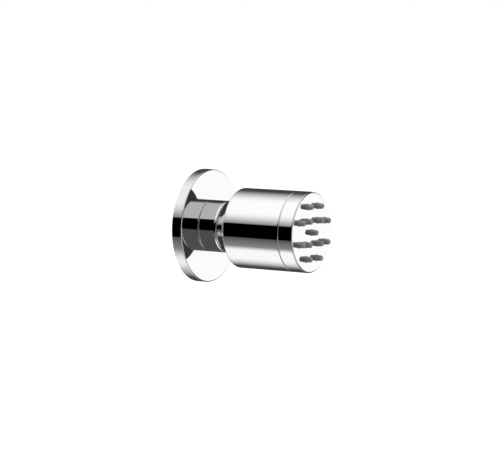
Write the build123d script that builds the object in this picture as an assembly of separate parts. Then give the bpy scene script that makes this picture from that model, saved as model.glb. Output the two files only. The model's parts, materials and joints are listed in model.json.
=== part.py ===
from build123d import *
import math
import os

# A shower body jet: a round wall plate, a short neck with a ball joint, and a round spray head.
# The jet's axis is the Y axis. The wall is the plane y = 0, the head points along -Y, and the
# inlet thread goes into the wall along +Y. Round pieces are outlines of (radius, distance out
# from the wall) turned about that axis. Sizes are in millimetres.

# Wall plate and its seals
PLATE_DIAMETER = 60.0
PLATE_THICKNESS = 5.75
PLATE_EDGE_FILLET = 0.6
PLATE_RIM_WIDTH = 4.0
PLATE_RECESS_DEPTH = 3.5
PLATE_HUB_WALL = 4.4
PLATE_HUB_SETBACK = 0.6
PLATE_BORE_CLEARANCE = 0.2
WALL_GASKET_WIDTH = 4.0
WALL_GASKET_CLEARANCE = 0.1
PLATE_O_RING_SECTION = 1.8
PLATE_O_RING_FROM_FRONT = 2.4

# Ball joint: the ball sets the cup around it, and the cup sets the neck
BALL_DIAMETER = 20.0
BALL_CLEARANCE = 0.05
BALL_SIDE_ROOM = 1.05
BALL_BACK_REACH = 8.6
KEY_SIDES = 6
BALL_KEY_SIZE = 8.0
BALL_KEY_DEPTH = 7.0
CUP_WALL = 1.35
CUP_FLOOR_THICKNESS = 2.0
CUP_FLOOR_CLEARANCE = 0.3
CUP_FRONT_GAP = 0.4
NUT_THREAD_CLEARANCE = 0.1
NUT_WALL = 1.2
NECK_LENGTH = 11.1
NECK_BASE_FILLET = 0.65
NECK_FRONT_FILLET = 1.25
NUT_LIP_THICKNESS = 2.75
NUT_THROAT_GRIP = 0.65
NUT_THROAT_CLEARANCE = 0.3
NUT_MOUTH_FILLET = 0.3
NUT_BORE_CHAMFER = 0.25

# Ball seats and their seals
SEAT_CLEARANCE = 0.05
FRONT_SEAT_LENGTH = 2.7
REAR_SEAT_SETBACK = 2.4
REAR_SEAT_BORE_DIAMETER = 15.2
SEAT_O_RING_SECTION = 1.3
SEAT_O_RING_DIAMETER = 18.6
SEAL_CLEARANCE = 0.03
BALL_O_RING_SECTION = 1.7
BALL_O_RING_ANGLE = 62.0

# Inlet body, with a half inch parallel pipe thread
INLET_THREAD_DIAMETER = 20.955
INLET_THREAD_LENGTH = 8.4
THREAD_LEAD_CHAMFER = 1.0
THREAD_RELIEF_LENGTH = 2.0
THREAD_RELIEF_DEPTH = 1.3
INLET_BORE_DIAMETER = 11.0
INLET_KEY_SIZE = 12.0
INLET_KEY_DEPTH = 9.0
INLET_WASHER_THICKNESS = 1.5
INLET_WASHER_CLEARANCE = 0.1
INLET_WASHER_INSET = 0.3
FILTER_DIAMETER = 14.6
FILTER_THICKNESS = 1.6
FILTER_FIT_CLEARANCE = 0.05
FILTER_SCREEN_THICKNESS = 0.8
FILTER_RIM_WIDTH = 1.2
FILTER_HOLE_DIAMETER = 1.2
FILTER_HOLE_PITCH = 2.4
FILTER_HOLE_RINGS = 2
FILTER_HOLES_PER_RING = 6

# Stem between ball and head
STEM_DIAMETER = 12.0
STEM_BORE_DIAMETER = 8.0
STEM_FLANGE_DIAMETER = 16.0
STEM_FLANGE_THICKNESS = 1.6
STEM_THREAD_LENGTH = 8.0
STEM_THREAD_CLEARANCE = 0.05
STEM_TIP_CHAMFER = 0.6
STEM_O_RING_SECTION = 1.4

# Head shell
HEAD_GAP = 8.15
HEAD_DIAMETER = 42.1
SHELL_LENGTH = 33.2
SHELL_WALL = 3.05
SHELL_BACK_WALL = 4.0
SHELL_BACK_FILLET = 0.9
SHELL_FRONT_FILLET = 1.0
SHELL_INNER_FILLET = 2.0
BOSS_WALL = 3.95
BOSS_LIP_THICKNESS = 2.0
BOSS_OUTLET_DIAMETER = 8.6
REGULATOR_HEIGHT = 4.0
REGULATOR_CLEARANCE = 0.1
REGULATOR_RIM_WIDTH = 1.0
REGULATOR_FLOOR = 1.4
REGULATOR_POST_DIAMETER = 3.0
REGULATOR_POST_DROP = 0.8
REGULATOR_RING_SECTION = 1.6
REGULATOR_HOLE_DIAMETER = 1.2
REGULATOR_HOLE_COUNT = 8

# Spray cap and what it clamps
SEAM_GAP = 0.1
CAP_LENGTH = 8.0
CAP_WALL = 1.35
CAP_THREAD_CLEARANCE = 0.1
CAP_FACE_THICKNESS = 1.6
CAP_FRONT_FILLET = 0.75
CAP_BACK_FILLET = 0.15
MAT_THICKNESS = 1.2
MAT_CLEARANCE = 0.1
DISTRIBUTOR_THICKNESS = 1.2
DISTRIBUTOR_RIB_HEIGHT = 2.5
DISTRIBUTOR_RIB_WIDTH = 1.6
DISTRIBUTOR_RIB_CLEARANCE = 0.2
FEED_HOLE_DIAMETER = 2.2
CAP_GASKET_THICKNESS = 0.8
CAP_GASKET_INSET = 0.1

# Nozzles: one in the middle and two rings
INNER_RING_DIAMETER = 16.9
INNER_RING_COUNT = 4
OUTER_RING_DIAMETER = 29.2
OUTER_RING_COUNT = 8
NOZZLE_PATTERN_TURN = -2.2
NOZZLE_LENGTH = 3.4
NOZZLE_COLLAR_DIAMETER = 3.4
NOZZLE_COLLAR_HEIGHT = 0.2
NOZZLE_COLLAR_FILLET = 0.08
NOZZLE_BASE_DIAMETER = 3.15
NOZZLE_TIP_DIAMETER = 2.7
NOZZLE_TIP_FILLET = 0.45
NOZZLE_BORE_DIAMETER = 1.0
NOZZLE_HOLE_CLEARANCE = 0.05
NOZZLE_HOLE_CHAMFER = 0.08

# Radii that follow from the sizes above
plate_radius = PLATE_DIAMETER / 2
ball_radius = BALL_DIAMETER / 2
cup_bore_radius = ball_radius + BALL_SIDE_ROOM
cup_radius = cup_bore_radius + CUP_WALL
nut_bore_radius = cup_radius + NUT_THREAD_CLEARANCE
neck_radius = nut_bore_radius + NUT_WALL
throat_radius = ball_radius - NUT_THROAT_GRIP
plate_bore_radius = cup_radius + PLATE_BORE_CLEARANCE
inlet_radius = INLET_THREAD_DIAMETER / 2
inlet_bore_radius = INLET_BORE_DIAMETER / 2
filter_seat_radius = FILTER_DIAMETER / 2 + FILTER_FIT_CLEARANCE
stem_radius = STEM_DIAMETER / 2
flange_radius = STEM_FLANGE_DIAMETER / 2
stem_hole_radius = stem_radius + STEM_THREAD_CLEARANCE
head_radius = HEAD_DIAMETER / 2
shell_bore_radius = head_radius - SHELL_WALL
cap_bore_radius = head_radius - CAP_WALL
collar_radius = cap_bore_radius - CAP_THREAD_CLEARANCE
face_hole_radius = NOZZLE_COLLAR_DIAMETER / 2 + NOZZLE_HOLE_CLEARANCE

# Distances from the wall that follow from the sizes above
plate_front = PLATE_THICKNESS
nut_front = plate_front + NECK_LENGTH
lip_back = nut_front - NUT_LIP_THICKNESS
ball_centre = lip_back - math.sqrt(ball_radius**2 - (throat_radius - NUT_THROAT_CLEARANCE) ** 2)
front_seat_front = lip_back - SEAT_CLEARANCE
front_seat_back = front_seat_front - FRONT_SEAT_LENGTH
cup_front = front_seat_back - CUP_FRONT_GAP
cup_floor = ball_centre - math.sqrt(ball_radius**2 - (INLET_KEY_SIZE / 2) ** 2) - CUP_FLOOR_CLEARANCE
cup_back = cup_floor - CUP_FLOOR_THICKNESS
rear_seat_front = ball_centre - REAR_SEAT_SETBACK
relief_back = cup_back - THREAD_RELIEF_LENGTH
inlet_back = relief_back - INLET_THREAD_LENGTH
head_back = nut_front + HEAD_GAP
stem_tip = head_back + STEM_THREAD_LENGTH
regulator_back = stem_tip + REGULATOR_CLEARANCE
regulator_front = regulator_back + REGULATOR_HEIGHT
boss_lip_back = regulator_front + REGULATOR_CLEARANCE
boss_front = boss_lip_back + BOSS_LIP_THICKNESS
shell_front = head_back + SHELL_LENGTH
cap_back = shell_front + SEAM_GAP
cap_front = cap_back + CAP_LENGTH
mat_front = cap_front - CAP_FACE_THICKNESS
mat_back = mat_front - MAT_THICKNESS
distributor_back = mat_back - DISTRIBUTOR_THICKNESS
collar_front = distributor_back - CAP_GASKET_THICKNESS
nozzle_tip = cap_front + NOZZLE_LENGTH

JET_AXIS = Axis((0, 0, 0), (0, -1, 0))
OUTLINE_PLANE = Plane(origin=(0, 0, 0), x_dir=(1, 0, 0), z_dir=(0, 0, -1))


def turned(*corners):
    """Turn a closed outline about the jet's axis; a corner is radius, distance and any fillet."""
    points = [corner[:2] for corner in corners]
    fillets = [corner[2] if len(corner) > 2 else 0 for corner in corners]
    if any(fillets):
        outline = FilletPolyline(*points, radius=fillets, close=True)
    else:
        outline = Polyline(*points, close=True)
    return revolve(OUTLINE_PLANE * make_face(outline), JET_AXIS)


def ring(inner, outer, back, front):
    """A plain turned ring between two radii and two distances from the wall."""
    return turned((inner, back), (outer, back), (outer, front), (inner, front))


def disc(radius, back, front):
    """A plain round disc or plug on the jet's axis."""
    return turned((0, back), (radius, back), (radius, front), (0, front))


def ball(radius):
    """A ball about the swivel centre."""
    return Pos(0, -ball_centre, 0) * Sphere(radius)


def o_ring(radius, section, centre):
    """A round-section ring on the jet's axis, from its middle radius, section and place."""
    return Pos(0, -centre, 0) * Rot(90, 0, 0) * Torus(radius, section / 2)


def key_socket(across_flats, back, front):
    """The hexagonal hole that takes a hexagon key, between two distances from the wall."""
    plane = Plane(origin=(0, -back, 0), x_dir=(1, 0, 0), z_dir=(0, -1, 0))
    hexagon = RegularPolygon(across_flats / 2, side_count=KEY_SIDES, major_radius=False)
    return extrude(plane * hexagon, amount=front - back)


def circle_places(radius, count, turn=0):
    """Places at equal steps on a circle about the jet's axis; the first is half a step round."""
    step = 2 * math.pi / count
    angles = [math.radians(turn) + step * (k + 0.5) for k in range(count)]
    return [Pos(radius * math.cos(a), 0, radius * math.sin(a)) for a in angles]


def nozzle_places():
    """The place of each nozzle: the middle one, the inner ring and the outer ring."""
    inner = circle_places(INNER_RING_DIAMETER / 2, INNER_RING_COUNT, NOZZLE_PATTERN_TURN)
    outer = circle_places(OUTER_RING_DIAMETER / 2, OUTER_RING_COUNT, NOZZLE_PATTERN_TURN)
    return [Pos(0, 0, 0), *inner, *outer]


def wall_plate():
    """Turned cover plate: recessed back with a bearing rim, and a hub grooved for its o-ring."""
    rim_radius = plate_radius - PLATE_RIM_WIDTH
    hub_radius = plate_bore_radius + PLATE_HUB_WALL
    plate = turned(
        (plate_bore_radius, PLATE_HUB_SETBACK),
        (hub_radius, PLATE_HUB_SETBACK),
        (hub_radius, PLATE_RECESS_DEPTH),
        (rim_radius, PLATE_RECESS_DEPTH),
        (rim_radius, 0),
        (plate_radius, 0),
        (plate_radius, plate_front, PLATE_EDGE_FILLET),
        (plate_bore_radius, plate_front),
    )
    half_groove = PLATE_O_RING_SECTION / 2 + SEAL_CLEARANCE
    groove_radius = cup_radius + 2 * half_groove
    groove_centre = plate_front - PLATE_O_RING_FROM_FRONT
    groove = ring(
        cup_radius, groove_radius, groove_centre - half_groove, groove_centre + half_groove
    )
    return plate - groove


def plate_o_ring():
    """Ring in the plate's hub that grips the cup of the inlet body."""
    middle = cup_radius + SEAL_CLEARANCE + PLATE_O_RING_SECTION / 2
    return o_ring(middle, PLATE_O_RING_SECTION, plate_front - PLATE_O_RING_FROM_FRONT)


def wall_gasket():
    """Soft flat ring in the plate's recess, level with the rim."""
    outer = plate_radius - PLATE_RIM_WIDTH - WALL_GASKET_CLEARANCE
    return ring(outer - WALL_GASKET_WIDTH, outer, 0, PLATE_RECESS_DEPTH)


def inlet_body():
    """Turned brass body: threaded inlet, key socket, and the threaded cup round the ball."""
    relief_radius = inlet_radius - THREAD_RELIEF_DEPTH
    filter_floor = inlet_back + FILTER_THICKNESS
    body = turned(
        (filter_seat_radius, inlet_back),
        (inlet_radius - THREAD_LEAD_CHAMFER, inlet_back),
        (inlet_radius, inlet_back + THREAD_LEAD_CHAMFER),
        (inlet_radius, relief_back),
        (relief_radius, relief_back),
        (relief_radius, cup_back),
        (cup_radius, cup_back),
        (cup_radius, cup_front),
        (cup_bore_radius, cup_front),
        (cup_bore_radius, cup_floor),
        (inlet_bore_radius, cup_floor),
        (inlet_bore_radius, filter_floor),
        (filter_seat_radius, filter_floor),
    )
    return body - key_socket(INLET_KEY_SIZE, cup_floor - INLET_KEY_DEPTH, cup_floor)


def inlet_washer():
    """Flat seal on the inlet thread, under the shoulder of the cup."""
    inner = inlet_radius + INLET_WASHER_CLEARANCE
    return ring(inner, cup_radius - INLET_WASHER_INSET, cup_back - INLET_WASHER_THICKNESS, cup_back)


def inlet_filter():
    """Moulded strainer: a thick rim round a thin screen with rings of fine holes."""
    radius = FILTER_DIAMETER / 2
    screen_radius = radius - FILTER_RIM_WIDTH
    screen_front = inlet_back + FILTER_SCREEN_THICKNESS
    strainer = turned(
        (0, inlet_back),
        (radius, inlet_back),
        (radius, inlet_back + FILTER_THICKNESS),
        (screen_radius, inlet_back + FILTER_THICKNESS),
        (screen_radius, screen_front),
        (0, screen_front),
    )
    places = [Pos(0, 0, 0)]
    for step in range(1, FILTER_HOLE_RINGS + 1):
        places += circle_places(step * FILTER_HOLE_PITCH, FILTER_HOLES_PER_RING * step)
    hole = disc(FILTER_HOLE_DIAMETER / 2, inlet_back, screen_front)
    return strainer - [place * hole for place in places]


def ball_nut():
    """The neck: a ring nut with rounded edges, a lip over the ball and a rounded mouth."""
    return turned(
        (nut_bore_radius + NUT_BORE_CHAMFER, plate_front),
        (neck_radius, plate_front, NECK_BASE_FILLET),
        (neck_radius, nut_front, NECK_FRONT_FILLET),
        (throat_radius, nut_front, NUT_MOUTH_FILLET),
        (throat_radius, lip_back),
        (nut_bore_radius, lip_back),
        (nut_bore_radius, plate_front + NUT_BORE_CHAMFER),
    )


def front_seat():
    """Plastic slip ring between the ball and the nut's lip."""
    outer = nut_bore_radius - NUT_THREAD_CLEARANCE
    blank = ring(throat_radius - NUT_THROAT_CLEARANCE, outer, front_seat_back, front_seat_front)
    return blank - ball(ball_radius + BALL_CLEARANCE)


def ball_o_ring_place():
    """Middle radius and distance of the ring that seals the ball in the rear seat."""
    reach = ball_radius + BALL_CLEARANCE + BALL_O_RING_SECTION / 2
    angle = math.radians(BALL_O_RING_ANGLE)
    return reach * math.sin(angle), ball_centre - reach * math.cos(angle)


def seat_o_ring_place():
    """Middle radius and distance of the ring that seals the rear seat on the cup's floor."""
    return SEAT_O_RING_DIAMETER / 2, cup_floor + SEAL_CLEARANCE + SEAT_O_RING_SECTION / 2


def rear_seat():
    """Plastic seat behind the ball, grooved for the ball's seal and for its own."""
    outer = cup_bore_radius - SEAT_CLEARANCE
    blank = ring(REAR_SEAT_BORE_DIAMETER / 2, outer, cup_floor, rear_seat_front)
    groove_radius, groove_centre = ball_o_ring_place()
    groove = o_ring(groove_radius, BALL_O_RING_SECTION + 2 * SEAL_CLEARANCE, groove_centre)
    half_slot = SEAT_O_RING_SECTION / 2 + SEAL_CLEARANCE
    slot_radius, slot_centre = seat_o_ring_place()
    slot = ring(
        slot_radius - half_slot, slot_radius + half_slot, cup_floor, slot_centre + half_slot
    )
    return blank - ball(ball_radius + BALL_CLEARANCE) - groove - slot


def ball_o_ring():
    """Round ring that seals the ball in the rear seat."""
    radius, centre = ball_o_ring_place()
    return o_ring(radius, BALL_O_RING_SECTION, centre)


def seat_o_ring():
    """Round ring that seals the rear seat on the floor of the cup."""
    radius, centre = seat_o_ring_place()
    return o_ring(radius, SEAT_O_RING_SECTION, centre)


def swivel_ball():
    """Turned ball with a flat back, and its hollow flanged stem, threaded into the head."""
    ball_back = ball_centre - BALL_BACK_REACH
    behind = disc(ball_radius, ball_centre - ball_radius, ball_back)
    stem = turned(
        (0, ball_centre),
        (stem_radius, ball_centre),
        (stem_radius, head_back - STEM_FLANGE_THICKNESS),
        (flange_radius, head_back - STEM_FLANGE_THICKNESS),
        (flange_radius, head_back),
        (stem_radius, head_back),
        (stem_radius, stem_tip - STEM_TIP_CHAMFER),
        (stem_radius - STEM_TIP_CHAMFER, stem_tip),
        (0, stem_tip),
    )
    bore = disc(STEM_BORE_DIAMETER / 2, ball_back, stem_tip)
    socket = key_socket(BALL_KEY_SIZE, ball_back, ball_back + BALL_KEY_DEPTH)
    return ball(ball_radius) - behind + stem - bore - socket


def stem_o_ring():
    """Round ring on the stem, under its flange, in the counterbore of the head's back."""
    middle = stem_radius + SEAL_CLEARANCE + STEM_O_RING_SECTION / 2
    return o_ring(middle, STEM_O_RING_SECTION, head_back + SEAL_CLEARANCE + STEM_O_RING_SECTION / 2)


def head_shell():
    """Rear shell of the head: flat back, boss for the stem, and a threaded collar in front."""
    wall_front = head_back + SHELL_BACK_WALL
    boss_radius = stem_hole_radius + BOSS_WALL
    o_ring_room = STEM_O_RING_SECTION + 2 * SEAL_CLEARANCE
    return turned(
        (stem_radius + o_ring_room, head_back),
        (head_radius, head_back, SHELL_BACK_FILLET),
        (head_radius, shell_front, SHELL_FRONT_FILLET),
        (collar_radius, shell_front),
        (collar_radius, collar_front),
        (shell_bore_radius, collar_front),
        (shell_bore_radius, wall_front, SHELL_INNER_FILLET),
        (boss_radius, wall_front, SHELL_INNER_FILLET),
        (boss_radius, boss_front),
        (BOSS_OUTLET_DIAMETER / 2, boss_front),
        (BOSS_OUTLET_DIAMETER / 2, boss_lip_back),
        (stem_hole_radius, boss_lip_back),
        (stem_hole_radius, head_back + o_ring_room),
        (stem_radius + o_ring_room, head_back + o_ring_room),
    )


def regulator_ring_radius():
    """Middle radius of the elastic ring, half way between the post and the rim."""
    rim_inner = stem_hole_radius - REGULATOR_CLEARANCE - REGULATOR_RIM_WIDTH
    return (REGULATOR_POST_DIAMETER / 2 + rim_inner) / 2


def flow_regulator():
    """Moulded limiter cup with a middle post and a ring of holes through its floor."""
    outer = stem_hole_radius - REGULATOR_CLEARANCE
    rim_inner = outer - REGULATOR_RIM_WIDTH
    post_radius = REGULATOR_POST_DIAMETER / 2
    floor_back = regulator_front - REGULATOR_FLOOR
    post_back = regulator_back + REGULATOR_POST_DROP
    limiter = turned(
        (0, post_back),
        (post_radius, post_back),
        (post_radius, floor_back),
        (rim_inner, floor_back),
        (rim_inner, regulator_back),
        (outer, regulator_back),
        (outer, regulator_front),
        (0, regulator_front),
    )
    hole = disc(REGULATOR_HOLE_DIAMETER / 2, floor_back, regulator_front)
    places = circle_places(regulator_ring_radius(), REGULATOR_HOLE_COUNT)
    return limiter - [place * hole for place in places]


def regulator_ring():
    """Elastic ring on the limiter's floor, which narrows the way as the pressure rises."""
    floor_back = regulator_front - REGULATOR_FLOOR
    centre = floor_back - SEAL_CLEARANCE - REGULATOR_RING_SECTION / 2
    return o_ring(regulator_ring_radius(), REGULATOR_RING_SECTION, centre)


def cap_gasket():
    """Flat seal between the shell's collar and the distributor."""
    outer = collar_radius - CAP_GASKET_INSET
    return ring(shell_bore_radius + CAP_GASKET_INSET, outer, collar_front, distributor_back)


def distributor():
    """Plastic disc behind the nozzle mat, with a locating rib and a feed hole for each nozzle."""
    rib_outer = shell_bore_radius - DISTRIBUTOR_RIB_CLEARANCE
    rib_inner = rib_outer - DISTRIBUTOR_RIB_WIDTH
    rib_back = distributor_back - DISTRIBUTOR_RIB_HEIGHT
    blank = turned(
        (0, distributor_back),
        (rib_inner, distributor_back),
        (rib_inner, rib_back),
        (rib_outer, rib_back),
        (rib_outer, distributor_back),
        (cap_bore_radius - MAT_CLEARANCE, distributor_back),
        (cap_bore_radius - MAT_CLEARANCE, mat_back),
        (0, mat_back),
    )
    hole = disc(FEED_HOLE_DIAMETER / 2, distributor_back, mat_back)
    return blank - [place * hole for place in nozzle_places()]


def nozzle():
    """One soft nozzle on the jet's axis: a collar in the face, then a tapering, rounded spout."""
    collar = NOZZLE_COLLAR_DIAMETER / 2
    collar_top = cap_front + NOZZLE_COLLAR_HEIGHT
    return turned(
        (0, mat_back),
        (collar, mat_back),
        (collar, collar_top, NOZZLE_COLLAR_FILLET),
        (NOZZLE_BASE_DIAMETER / 2, collar_top),
        (NOZZLE_TIP_DIAMETER / 2, nozzle_tip, NOZZLE_TIP_FILLET),
        (0, nozzle_tip),
    )


def nozzle_bore():
    """The waterway of one nozzle, from a wide mouth at the feed hole to the fine jet."""
    fine = NOZZLE_BORE_DIAMETER / 2
    wide = FEED_HOLE_DIAMETER / 2
    return turned(
        (0, mat_back), (wide, mat_back), (fine, cap_front), (fine, nozzle_tip), (0, nozzle_tip)
    )


def nozzle_mat():
    """Moulded silicone mat with every nozzle in one piece."""
    mat = disc(cap_bore_radius - MAT_CLEARANCE, mat_back, mat_front)
    spout = nozzle()
    waterway = nozzle_bore()
    mat = mat + [place * spout for place in nozzle_places()]
    return mat - [place * waterway for place in nozzle_places()]


def spray_cap():
    """Turned front cap: a threaded skirt, and the face with a chamfered hole for each nozzle."""
    cap = turned(
        (cap_bore_radius, cap_back),
        (head_radius, cap_back, CAP_BACK_FILLET),
        (head_radius, cap_front, CAP_FRONT_FILLET),
        (0, cap_front),
        (0, mat_front),
        (cap_bore_radius, mat_front),
    )
    drill = turned(
        (0, mat_front),
        (face_hole_radius, mat_front),
        (face_hole_radius, cap_front - NOZZLE_HOLE_CHAMFER),
        (face_hole_radius + NOZZLE_HOLE_CHAMFER, cap_front),
        (0, cap_front),
    )
    return cap - [place * drill for place in nozzle_places()]


PIECES = (
    wall_plate,
    wall_gasket,
    plate_o_ring,
    inlet_body,
    inlet_washer,
    inlet_filter,
    seat_o_ring,
    rear_seat,
    ball_o_ring,
    ball_nut,
    front_seat,
    swivel_ball,
    stem_o_ring,
    head_shell,
    flow_regulator,
    regulator_ring,
    cap_gasket,
    distributor,
    nozzle_mat,
    spray_cap,
)

os.makedirs("parts", exist_ok=True)
for piece in PIECES:
    export_step(piece(), f"parts/{piece.__name__}.step")
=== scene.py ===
import json
import math

import bpy
import numpy as np
from mathutils import Matrix, Vector


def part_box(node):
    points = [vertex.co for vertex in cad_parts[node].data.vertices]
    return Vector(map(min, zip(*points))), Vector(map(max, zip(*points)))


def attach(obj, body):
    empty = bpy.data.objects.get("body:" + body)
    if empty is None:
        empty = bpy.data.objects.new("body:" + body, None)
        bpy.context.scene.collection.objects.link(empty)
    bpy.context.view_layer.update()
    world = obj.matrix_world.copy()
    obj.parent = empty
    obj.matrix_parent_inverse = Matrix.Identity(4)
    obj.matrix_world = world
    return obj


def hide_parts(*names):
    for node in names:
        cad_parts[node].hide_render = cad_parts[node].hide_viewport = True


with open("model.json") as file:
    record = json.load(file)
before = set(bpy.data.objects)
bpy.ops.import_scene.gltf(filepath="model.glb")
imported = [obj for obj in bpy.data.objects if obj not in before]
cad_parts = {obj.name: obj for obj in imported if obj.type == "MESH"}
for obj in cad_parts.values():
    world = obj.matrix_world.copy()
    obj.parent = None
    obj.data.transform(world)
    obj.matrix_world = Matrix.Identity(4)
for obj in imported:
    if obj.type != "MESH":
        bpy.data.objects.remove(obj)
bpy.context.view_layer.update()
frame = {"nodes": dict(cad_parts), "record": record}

# The finished look of a chromed shower body jet. The jet's axis is the Y axis, the wall is the
# plane y = 0 and the head points along -Y. Lengths are in metres, and names ending in MM are sizes
# in millimetres.

MM = 0.001

# The photograph's view: its angles in degrees, and the camera's distance, side step and rise from
# the middle of the plate
VIEW_AZIMUTH = -59.5
VIEW_ELEVATION = 6.65
VIEW_DISTANCE_MM = 1030.5
VIEW_SIDE_STEP_MM = 25.3
VIEW_RISE_MM = -0.02
LENS_MM = 139.5
SENSOR_MM = 36.0

# Inlet body: sizes behind the plate that its box doesn't give
THREAD_PITCH_MM = 1.814
THREAD_DEPTH_MM = 1.162
THREAD_LENGTH_MM = 8.4
LEAD_CHAMFER_MM = 1.0
RELIEF_LENGTH_MM = 2.0
RELIEF_DEPTH_MM = 1.3
CUP_WALL_MM = 1.35
CUP_FLOOR_MM = 2.0
INLET_BORE_MM = 11.0
KEY_SIZE_MM = 12.0
KEY_DEPTH_MM = 9.0
KEY_SIDES = 6
STRAINER_SEAT_MM = 14.7
STRAINER_DEPTH_MM = 1.6
# Its mesh: points along each thread and round the axis, and degrees from which an edge is sharp
THREAD_STEPS = 16
TURN_STEPS = 192
SHARP_EDGE = 35

# Finishes: the sizes of their patterns, the octaves of each noise, and the spans of roughness. The
# tool's marks on the brass are about 0.1 mm apart and the moulds' grain is about 0.05 mm; both are
# drawn coarser, so that they show
CHROME_HAZE_MM = 4.0
CHROME_HAZE_DETAIL = 3.0
CHROME_SWELL_MM = 9.0
CHROME_SWELL_DETAIL = 0.0
CHROME_SWELL_DEPTH_MM = 0.0015
CHROME_ROUGHNESS = (0.015, 0.05)
BRASS_STAIN_MM = 6.0
BRASS_STAIN_DETAIL = 4.0
BRASS_RING_MM = 0.9
BRASS_RING_WANDER = 0.4
BRASS_RING_DEPTH_MM = 0.004
BRASS_ROUGHNESS = (0.22, 0.4)
MOULD_CLOUD_MM = 3.0
MOULD_CLOUD_DETAIL = 3.0
MOULD_GRAIN_MM = 0.6
MOULD_GRAIN_DETAIL = 2.0
MOULD_GRAIN_DEPTH_MM = 0.004
MOULD_ROUGHNESS_SPREAD = 0.06
# A wave texture of scale 1 repeats after this many metres
WAVE_REPEAT = math.pi / 10

# What the metal mirrors: soft panels, of which the brightest is seen, and black flags before them.
# A panel has a strength and edges, and a flag has edges alone. An edge names a measure of the
# direction, its value where the panel has faded out and its value where the panel is full. Round is
# degrees about the jet's axis, up from the left. Turn is degrees about the upright, from straight
# ahead to the left. Ahead and up go from -1 to 1, and off_hood is degrees from the hood's middle.
DARK_LEVEL = 0.073
PANELS = {
    # Over and under the jet, for the side of the head, and their spill, for the plate's rim
    "upper_softbox": (
        1.46, ("round", 4, 54), ("round", 153, 86), ("ahead", 0.3, 0.0), ("ahead", -0.56, -0.51),
    ),
    "upper_spill": (1.26, ("round", 4, 54), ("round", 153, 86), ("ahead", 0.3, 0.0)),
    "lower_softbox": (
        1.41, ("round", -39, -61.5), ("round", -138, -84),
        ("ahead", 0.3, -0.05), ("ahead", -0.56, -0.51),
    ),
    "lower_spill": (1.27, ("round", -30, -74), ("round", -125, -76), ("ahead", 0.3, -0.05)),
    "lower_glow": (0.36, ("round", 2, -56), ("round", -140, -85), ("ahead", 0.3, -0.05)),
    # In front of the jet, for the neck, which is seen by way of the plate, and for the small edges
    "front_softbox": (
        0.95, ("round", 25, 39), ("round", 141, 119), ("ahead", -0.2, 0.2), ("ahead", 0.63, 0.55),
    ),
    "front_ceiling": (1.4, ("up", 0.55, 0.72), ("ahead", 0.55, 0.63)),
    "front_floor": (1.4, ("up", -0.6, -0.71), ("ahead", 0.55, 0.63)),
    "front_fill": (0.15, ("up", 0.1, 0.5), ("ahead", 0.55, 0.63)),
    "low_fill": (0.156, ("up", 0.1, 0.0), ("ahead", -0.05, 0.12), ("ahead", 0.63, 0.55)),
    # Straight ahead, for the sides of the plate and the head as they look from behind
    "front_glow": (0.7, ("ahead", 0.63, 0.69)),
    # At the right, for the flat of the plate, the face and their far edges
    "right_card": (
        1.43, ("turn", -22, -40), ("turn", -90, -74), ("up", -0.22, -0.17), ("up", -0.02, -0.07),
    ),
    "right_wing": (
        0.9, ("turn", -62, -76), ("turn", -113, -103), ("up", -0.4, -0.25), ("up", 0.5, 0.35),
    ),
}
# The flag draws the black band along the jet, and the hood is the dark place round the camera
FLAGS = {
    "side_flag": (("round", -20.7, -19.7), ("round", 19.9, 18.9), ("ahead", 0.48, 0.4)),
    "camera_hood": (("off_hood", 22.5, 20.5),),
}
# Degrees from the camera up to the hood's middle
HOOD_RISE = 2.0

# Studio: the floor in metres, and a lamp whose light spreads over some degrees
FLOOR_DROP = 0.25
FLOOR_REACH = 60.0
FLOOR_ALBEDO = 0.5
FLOOR_GLOW = 0.62
KEY_STRENGTH = 1.4
KEY_SPREAD = 60.0
KEY_FROM = (0.35, -0.55, 1.0)


def linear(hex_colour):
    """Linear RGBA of an sRGB hex colour."""
    srgb = np.array([int(hex_colour[k:k + 2], 16) for k in (1, 3, 5)]) / 255
    rgb = np.where(srgb <= 0.04045, srgb / 12.92, ((srgb + 0.055) / 1.055) ** 2.4)
    return (*rgb.tolist(), 1.0)


def feed(tree, node, inputs):
    """Give each named input of a node its value, or link it to the socket that feeds it."""
    for name, value in inputs.items():
        if isinstance(value, bpy.types.NodeSocket):
            tree.links.new(value, node.inputs[name])
        else:
            node.inputs[name].default_value = value


def add(tree, kind, inputs, **settings):
    """Add a node with its settings, and feed its inputs."""
    node = tree.nodes.new(kind)
    for name, value in settings.items():
        setattr(node, name, value)
    feed(tree, node, inputs)
    return node


def per_metre(size_mm):
    """Scale of a texture whose features are size_mm across."""
    return 1 / (size_mm * MM)


def blank_material(name):
    """A new material: its node tree, its shader and the object coordinates."""
    material = bpy.data.materials.new(name)
    material.use_nodes = True
    tree = material.node_tree
    place = add(tree, "ShaderNodeTexCoord", {}).outputs["Object"]
    return material, tree, tree.nodes["Principled BSDF"], place


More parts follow.
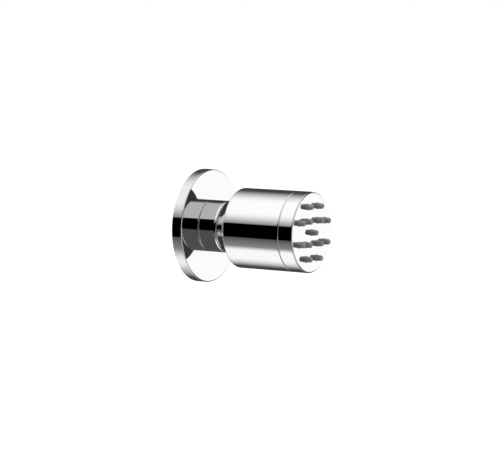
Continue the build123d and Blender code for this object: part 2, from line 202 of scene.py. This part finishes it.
def polished_chrome():
    """Chromium plate on polished brass: a white mirror, a little hazed and never quite flat."""
    material, tree, shader, place = blank_material("polished_chrome")
    haze = add(
        tree, "ShaderNodeTexNoise",
        {"Vector": place, "Scale": per_metre(CHROME_HAZE_MM), "Detail": CHROME_HAZE_DETAIL},
    ).outputs["Fac"]
    swell = add(
        tree, "ShaderNodeTexNoise",
        {"Vector": place, "Scale": per_metre(CHROME_SWELL_MM), "Detail": CHROME_SWELL_DETAIL},
    ).outputs["Fac"]
    tint = add(
        tree, "ShaderNodeMix", {"Factor": haze, "A": linear("#D3D3D3"), "B": linear("#D7D7D7")},
        data_type="RGBA",
    )
    smoothest, roughest = CHROME_ROUGHNESS
    gloss = add(
        tree, "ShaderNodeMapRange", {"Value": haze, "To Min": smoothest, "To Max": roughest}
    )
    bump = add(tree, "ShaderNodeBump", {"Height": swell, "Distance": CHROME_SWELL_DEPTH_MM * MM})
    feed(tree, shader, {
        "Metallic": 1.0,
        "Base Color": tint.outputs["Result"],
        "Roughness": gloss.outputs["Result"],
        "Normal": bump.outputs["Normal"],
    })
    return material


def turned_brass():
    """Bare turned brass: warm yellow, with the fine rings that the lathe tool leaves."""
    material, tree, shader, place = blank_material("turned_brass")
    stain = add(
        tree, "ShaderNodeTexNoise",
        {"Vector": place, "Scale": per_metre(BRASS_STAIN_MM), "Detail": BRASS_STAIN_DETAIL},
    ).outputs["Fac"]
    rings = add(
        tree, "ShaderNodeTexWave",
        {
            "Vector": place,
            "Scale": WAVE_REPEAT * per_metre(BRASS_RING_MM),
            "Distortion": BRASS_RING_WANDER,
        },
        bands_direction="Y",
    ).outputs["Fac"]
    tint = add(
        tree, "ShaderNodeMix", {"Factor": stain, "A": linear("#C9A15A"), "B": linear("#E0BE78")},
        data_type="RGBA",
    )
    smoothest, roughest = BRASS_ROUGHNESS
    gloss = add(
        tree, "ShaderNodeMapRange", {"Value": stain, "To Min": smoothest, "To Max": roughest}
    )
    bump = add(tree, "ShaderNodeBump", {"Height": rings, "Distance": BRASS_RING_DEPTH_MM * MM})
    feed(tree, shader, {
        "Metallic": 1.0,
        "Base Color": tint.outputs["Result"],
        "Roughness": gloss.outputs["Result"],
        "Normal": bump.outputs["Normal"],
    })
    return material


def moulded(name, dark, light, roughness, ior):
    """A moulded rubber or plastic: two close tones in soft clouds, and the grain of its mould."""
    material, tree, shader, place = blank_material(name)
    cloud = add(
        tree, "ShaderNodeTexNoise",
        {"Vector": place, "Scale": per_metre(MOULD_CLOUD_MM), "Detail": MOULD_CLOUD_DETAIL},
    ).outputs["Fac"]
    grain = add(
        tree, "ShaderNodeTexNoise",
        {"Vector": place, "Scale": per_metre(MOULD_GRAIN_MM), "Detail": MOULD_GRAIN_DETAIL},
    ).outputs["Fac"]
    tint = add(
        tree, "ShaderNodeMix", {"Factor": cloud, "A": linear(dark), "B": linear(light)},
        data_type="RGBA",
    )
    smoothest = roughness - MOULD_ROUGHNESS_SPREAD
    roughest = roughness + MOULD_ROUGHNESS_SPREAD
    gloss = add(
        tree, "ShaderNodeMapRange", {"Value": grain, "To Min": smoothest, "To Max": roughest}
    )
    bump = add(tree, "ShaderNodeBump", {"Height": grain, "Distance": MOULD_GRAIN_DEPTH_MM * MM})
    feed(tree, shader, {
        "IOR": ior,
        "Base Color": tint.outputs["Result"],
        "Roughness": gloss.outputs["Result"],
        "Normal": bump.outputs["Normal"],
    })
    return material


def thread_height(phase):
    """Rounded pipe thread, 0 at the root to 1 at the crest: a smooth step of a triangle wave."""
    triangle = 1 - np.abs(2 * (phase % 1.0) - 1)
    return triangle**2 * (3 - 2 * triangle)


def inlet_body_surface():
    """Rows along a closed outline of (radius, distance from the wall), columns round the axis.

    The outline runs up the threaded outside, round the cup and down the waterway. In the threaded
    stretch the radius drops by the thread's height at phase theta / turn - distance / pitch, and in
    the key socket it is the hexagon's: half its size over the cosine of the angle from a flat.
    """
    low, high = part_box("inlet_body")
    thread = next(m for m in frame["record"]["mounts"] if m["name"] == "inlet_thread")
    thread_radius = thread["dims"]["r_mm"]
    cup_radius = high.x / MM
    cup_front = -low.y / MM
    inlet_back = -high.y / MM
    relief_back = inlet_back + THREAD_LENGTH_MM
    cup_back = relief_back + RELIEF_LENGTH_MM
    cup_floor = cup_back + CUP_FLOOR_MM
    relief_radius = thread_radius - RELIEF_DEPTH_MM
    cup_bore = cup_radius - CUP_WALL_MM
    bore = INLET_BORE_MM / 2
    seat = STRAINER_SEAT_MM / 2
    seat_floor = inlet_back + STRAINER_DEPTH_MM
    socket_floor = cup_floor - KEY_DEPTH_MM

    turns = THREAD_LENGTH_MM / THREAD_PITCH_MM
    threaded = np.linspace(inlet_back, relief_back, int(turns * THREAD_STEPS) + 1)
    outline = [(seat, inlet_back)]
    outline += [(thread_radius, d) for d in threaded]
    # A radius of 0 stands for the hexagon of the key socket
    outline += [
        (relief_radius, relief_back), (relief_radius, cup_back), (cup_radius, cup_back),
        (cup_radius, cup_front), (cup_bore, cup_front), (cup_bore, cup_floor),
        (0, cup_floor), (0, socket_floor), (bore, socket_floor), (bore, seat_floor),
        (seat, seat_floor),
    ]
    radius, distance = np.array(outline).T[:, :, None]
    theta = np.arange(TURN_STEPS)[None, :] * 2 * math.pi / TURN_STEPS
    is_thread = radius == thread_radius
    phase = theta / (2 * math.pi) - distance / THREAD_PITCH_MM
    cut = (1 - thread_height(phase)) * THREAD_DEPTH_MM
    lead = thread_radius - LEAD_CHAMFER_MM + (distance - inlet_back)
    side = 2 * math.pi / KEY_SIDES
    hexagon = KEY_SIZE_MM / 2 / np.cos((theta % side) - side / 2)
    radius = np.where(is_thread, np.minimum(thread_radius - cut, lead), radius)
    radius = np.where(radius == 0, hexagon, radius + 0 * theta)
    place = np.stack([radius * np.cos(theta), -distance + 0 * theta, radius * np.sin(theta)], -1)
    return place * MM


def closed_grid(name, place):
    """A mesh from a grid of points whose rows and columns both run round to their start."""
    rows, columns = place.shape[:2]
    index = np.arange(rows * columns).reshape(rows, columns)
    up = np.roll(index, -1, axis=0)
    faces = np.stack([index, np.roll(index, -1, 1), np.roll(up, -1, 1), up], -1).reshape(-1, 4)
    mesh = bpy.data.meshes.new(name)
    mesh.from_pydata(place.reshape(-1, 3), [], faces)
    mesh.polygons.foreach_set("use_smooth", np.ones(len(faces), bool))
    mesh.set_sharp_from_angle(angle=math.radians(SHARP_EDGE))
    piece = bpy.data.objects.new(name, mesh)
    bpy.context.scene.collection.objects.link(piece)
    return piece


def view_frame():
    """The view's right, up and backward directions."""
    azimuth, elevation = math.radians(VIEW_AZIMUTH), math.radians(VIEW_ELEVATION)
    right = Vector((math.cos(azimuth), math.sin(azimuth), 0))
    back = Vector((
        math.sin(azimuth) * math.cos(elevation),
        -math.cos(azimuth) * math.cos(elevation),
        math.sin(elevation),
    ))
    return right, back.cross(right), back


def photograph_camera():
    """The camera at the photograph's place, looking level with its view."""
    right, up, back = view_frame()
    data = bpy.data.cameras.new("camera")
    data.lens = LENS_MM
    data.sensor_width = SENSOR_MM
    camera = bpy.data.objects.new("camera", data)
    place = (back * VIEW_DISTANCE_MM + right * VIEW_SIDE_STEP_MM + up * VIEW_RISE_MM) * MM
    turn = Matrix((right, up, back)).transposed().to_4x4()
    camera.matrix_world = Matrix.Translation(place) @ turn
    bpy.context.scene.collection.objects.link(camera)
    bpy.context.scene.camera = camera


def between_edges(tree, measures, strength, edges):
    """A panel or a flag: its strength times a smooth step at each of its edges."""
    level = strength
    for name, outside, inside in edges:
        step = add(
            tree, "ShaderNodeMapRange",
            {"Value": measures[name], "From Min": outside, "From Max": inside},
            interpolation_type="SMOOTHSTEP",
        )
        level = add(
            tree, "ShaderNodeMath", {0: level, 1: step.outputs["Result"]}, operation="MULTIPLY"
        ).outputs["Value"]
    return level


def direction_measures(tree):
    """What the edges of the panels are given in, worked out from the direction of a ray."""
    direction = add(tree, "ShaderNodeTexCoord", {}).outputs["Generated"]
    turned = add(
        tree, "ShaderNodeVectorMath", {0: direction, 1: (-1, -1, 1)}, operation="MULTIPLY"
    ).outputs["Vector"]
    left, ahead, up = add(tree, "ShaderNodeSeparateXYZ", {"Vector": turned}).outputs
    _, view_up, view_back = view_frame()
    hood = (view_back + view_up * math.tan(math.radians(HOOD_RISE))).normalized()
    toward_hood = add(
        tree, "ShaderNodeVectorMath", {0: direction, 1: hood}, operation="DOT_PRODUCT"
    ).outputs["Value"]
    angles = {
        "round": add(tree, "ShaderNodeMath", {0: up, 1: left}, operation="ARCTAN2"),
        "turn": add(tree, "ShaderNodeMath", {0: left, 1: ahead}, operation="ARCTAN2"),
        "off_hood": add(tree, "ShaderNodeMath", {0: toward_hood}, operation="ARCCOSINE"),
    }
    measures = {"ahead": ahead, "up": up}
    for name, angle in angles.items():
        degrees = add(tree, "ShaderNodeMath", {0: angle.outputs["Value"]}, operation="DEGREES")
        measures[name] = degrees.outputs["Value"]
    return measures


def studio_world():
    """White to the camera; to the metal, soft panels round the jet, a flag and a camera hood."""
    world = bpy.data.worlds.new("studio")
    world.use_nodes = True
    tree = world.node_tree
    measures = direction_measures(tree)
    level = DARK_LEVEL
    for strength, *edges in PANELS.values():
        panel = between_edges(tree, measures, strength, edges)
        level = add(
            tree, "ShaderNodeMath", {0: level, 1: panel}, operation="MAXIMUM"
        ).outputs["Value"]
    for edges in FLAGS.values():
        flag = between_edges(tree, measures, 1.0, edges)
        level = add(tree, "ShaderNodeMix", {"Factor": flag, "A": level, "B": 0.0}).outputs["Result"]
    to_camera = add(tree, "ShaderNodeLightPath", {}).outputs["Is Camera Ray"]
    seen = add(tree, "ShaderNodeMix", {"Factor": to_camera, "A": level, "B": 1.0})
    feed(tree, tree.nodes["Background"], {
        "Color": (1, 1, 1, 1),
        "Strength": seen.outputs["Result"],
    })
    bpy.context.scene.world = world


def studio_floor():
    """A plain white floor below the part: it keeps the shadow and glows to the camera alone."""
    material, tree, shader, _ = blank_material("white_floor")
    to_camera = add(tree, "ShaderNodeLightPath", {}).outputs["Is Camera Ray"]
    glow = add(tree, "ShaderNodeMath", {0: to_camera, 1: FLOOR_GLOW}, operation="MULTIPLY")
    feed(tree, shader, {
        "Base Color": (FLOOR_ALBEDO, FLOOR_ALBEDO, FLOOR_ALBEDO, 1),
        "Roughness": 1.0,
        "Specular IOR Level": 0.0,
        "Emission Color": (1, 1, 1, 1),
        "Emission Strength": glow.outputs["Value"],
    })
    corner = np.array([(-1, -1, 0), (1, -1, 0), (1, 1, 0), (-1, 1, 0)]) * FLOOR_REACH
    corner[:, 2] = -FLOOR_DROP
    mesh = bpy.data.meshes.new("floor")
    mesh.from_pydata(corner, [], [(0, 1, 2, 3)])
    mesh.materials.append(material)
    floor = bpy.data.objects.new("floor", mesh)
    floor.visible_glossy = False
    bpy.context.scene.collection.objects.link(floor)


def key_light():
    """One broad soft lamp from above and in front, for the shadows; the metal doesn't mirror it."""
    data = bpy.data.lights.new("key", "SUN")
    data.energy = KEY_STRENGTH
    data.angle = math.radians(KEY_SPREAD)
    lamp = bpy.data.objects.new("key", data)
    lamp.rotation_mode = "QUATERNION"
    lamp.rotation_quaternion = Vector(KEY_FROM).to_track_quat("Z", "Y")
    lamp.visible_glossy = False
    bpy.context.scene.collection.objects.link(lamp)


FINISHES = {
    "chrome": polished_chrome(),
    "brass": turned_brass(),
    # Silicone rubber, moulded soft: mid grey and satin, so the small nozzles have no hard glint
    "silicone": moulded("satin_silicone", "#868686", "#909090", roughness=0.24, ior=1.41),
    # Nitrile rubber, moulded: nearly black, and dull
    "seal_rubber": moulded("nitrile_rubber", "#1B1B1C", "#232324", roughness=0.55, ior=1.5),
    # Acetal, moulded: a warm off-white with a waxy half gloss
    "seat_plastic": moulded("acetal", "#E4E1D8", "#ECEAE3", roughness=0.4, ior=1.48),
    # Polypropylene, dyed blue and moulded thin: a soft gloss
    "strainer_plastic": moulded(
        "polypropylene", "#2E5A94", "#376AA8", roughness=0.42, ior=1.49
    ),
}
for row in frame["record"]["subparts"]:
    frame["nodes"][row["node"]].material_slots[0].material = FINISHES[row["material_slot"]]

inlet = closed_grid("threaded_inlet", inlet_body_surface())
inlet.data.materials.append(FINISHES["brass"])
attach(inlet, "wall_mount")
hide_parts("inlet_body")

photograph_camera()
studio_world()
studio_floor()
key_light()
bpy.context.scene.view_settings.view_transform = "Standard"
